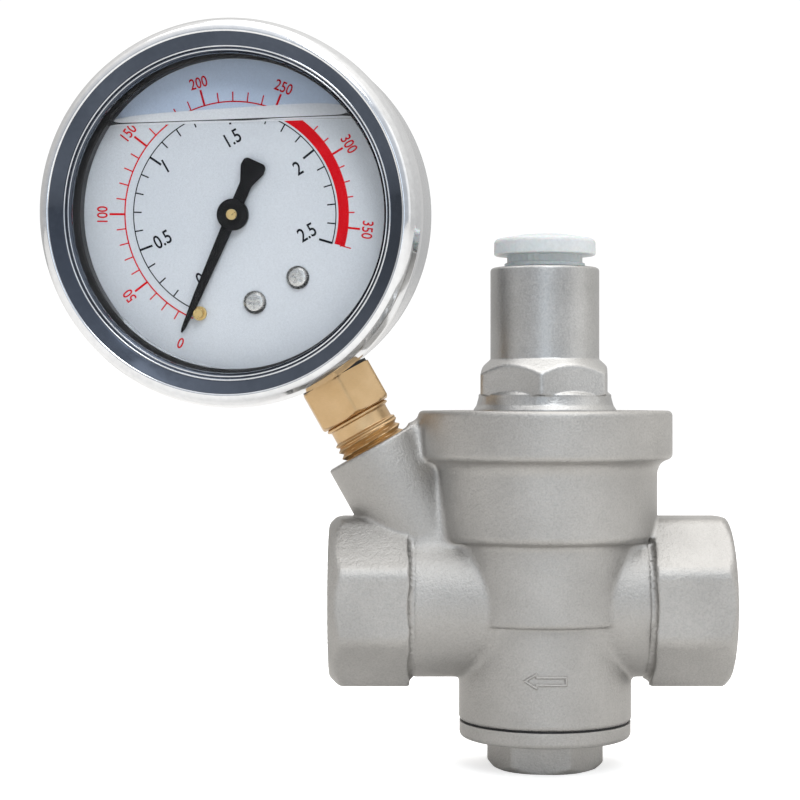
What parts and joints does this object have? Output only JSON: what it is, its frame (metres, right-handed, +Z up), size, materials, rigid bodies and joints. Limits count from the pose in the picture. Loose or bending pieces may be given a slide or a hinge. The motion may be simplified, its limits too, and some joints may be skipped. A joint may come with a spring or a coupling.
{
  "type": "pressure reducing valve",
  "caption": "Stainless steel pressure reducing valve with threaded octagonal ports, spring bonnet with plug cap, and a liquid-filled gauge on a leaning side boss.",
  "frame": {"origin": "centre of the inlet port's mouth", "axes": "+X out of the inlet port (water flows towards -X), +Z up through the bonnet and the cap; the gauge faces -Y"},
  "size_m": [0.1311, 0.0488, 0.1423],
  "materials": {
    "cast_steel": "investment-cast stainless steel, bead-blasted, fine grain",
    "machined_steel": "turned stainless steel",
    "gauge_brass": "machined brass",
    "movement_brass": "stamped brass",
    "seal_rubber": "matt black nitrile rubber",
    "cap_plastic": "white polythene, slightly translucent",
    "chrome_bezel": "polished stainless steel",
    "case_steel": "polished stainless steel sheet",
    "window_glass": "clear flat window",
    "dial_face": "satin white enamel",
    "pointer_black": "matt black enamel",
    "guide_ptfe": "PTFE guide ring",
    "spring_steel": "drawn stainless spring wire"
  },
  "bodies": {
    "root": {"body": "cast_steel", "inlet_end": "cast_steel", "outlet_end": "cast_steel", "seat_ring": "machined_steel", "bonnet": "cast_steel", "bonnet_o_ring": "seal_rubber", "spring": "spring_steel", "bottom_plug": "cast_steel", "plug_gasket": "seal_rubber", "gauge_socket": "gauge_brass", "socket_gasket": "seal_rubber", "gauge_case": "case_steel", "fill_plug": "seal_rubber", "gauge_bezel": "chrome_bezel", "gauge_window": "window_glass", "window_gasket": "seal_rubber", "dial": "dial_face", "dial_screws": "machined_steel", "dial_posts": "movement_brass", "stop_pin": "movement_brass", "bourdon_tube": "movement_brass", "hairspring": "spring_steel", "rear_plate": "movement_brass", "front_plate": "movement_brass", "movement_pillars": "movement_brass", "movement_screws": "machined_steel"},
    "cap_plug": {"cap": "cap_plastic"},
    "spring_seat": {"spring_plate": "machined_steel"},
    "screw": {"adjusting_screw": "machined_steel"},
    "piston_group": {"piston": "machined_steel", "piston_o_ring": "seal_rubber", "piston_guide_ring": "guide_ptfe", "valve_stem": "machined_steel", "stem_nut": "machined_steel", "seal_washer": "machined_steel", "seal_disc": "seal_rubber", "disc_holder": "machined_steel", "balance_o_ring": "seal_rubber"},
    "pointer_group": {"pointer": "pointer_black", "pinion_arbor": "movement_brass"},
    "sector": {"sector_gear": "movement_brass", "sector_arbor": "machined_steel"},
    "tip": {"tube_tip": "movement_brass", "tip_link": "movement_brass"}
  },
  "joints": [
    {"name": "cap_pull", "type": "slide", "parent": "root", "child": "cap_plug", "axis": [0, 0, 1], "range_m": [0, 0.014]},
    {"name": "plate_travel", "type": "slide", "parent": "root", "child": "spring_seat", "axis": [0, 0, 1], "range_m": [-0.0048, 0.0012], "deforming": ["spring"]},
    {"name": "screw_turn", "type": "hinge", "parent": "spring_seat", "child": "screw", "pos_m": [-0.035, 0, 0.054], "axis": [0, 0, 1], "range_deg": [-1155, 290]},
    {"name": "piston_travel", "type": "slide", "parent": "root", "child": "piston_group", "axis": [0, 0, 1], "range_m": [0, 0.0029], "stiffness_N_per_m": 5000, "springref_m": -0.01, "deforming": ["spring"]},
    {"name": "sector_turn", "type": "hinge", "parent": "root", "child": "sector", "pos_m": [-0.08905, -0.00296, 0.06593], "axis": [-0.1363, -0.9877, -0.0768], "range_deg": [0, 26.3]},
    {"name": "pointer_turn", "type": "hinge", "parent": "root", "child": "pointer_group", "pos_m": [-0.09446, -0.00889, 0.07361], "axis": [-0.1363, -0.9877, -0.0768], "range_deg": [-263, 0]},
    {"name": "tip_travel", "type": "slide", "parent": "root", "child": "tip", "axis": [0.9873, -0.1418, 0.0712], "range_m": [0, 0.00181]}
  ],
  "couplings": [
    {"joint": "screw_turn", "follows": "plate_travel", "rad_per_m": 4188.8},
    {"joint": "sector_turn", "follows": "tip_travel", "rad_per_m": 252.33},
    {"joint": "pointer_turn", "follows": "tip_travel", "rad_per_m": -2523.3}
  ]
}
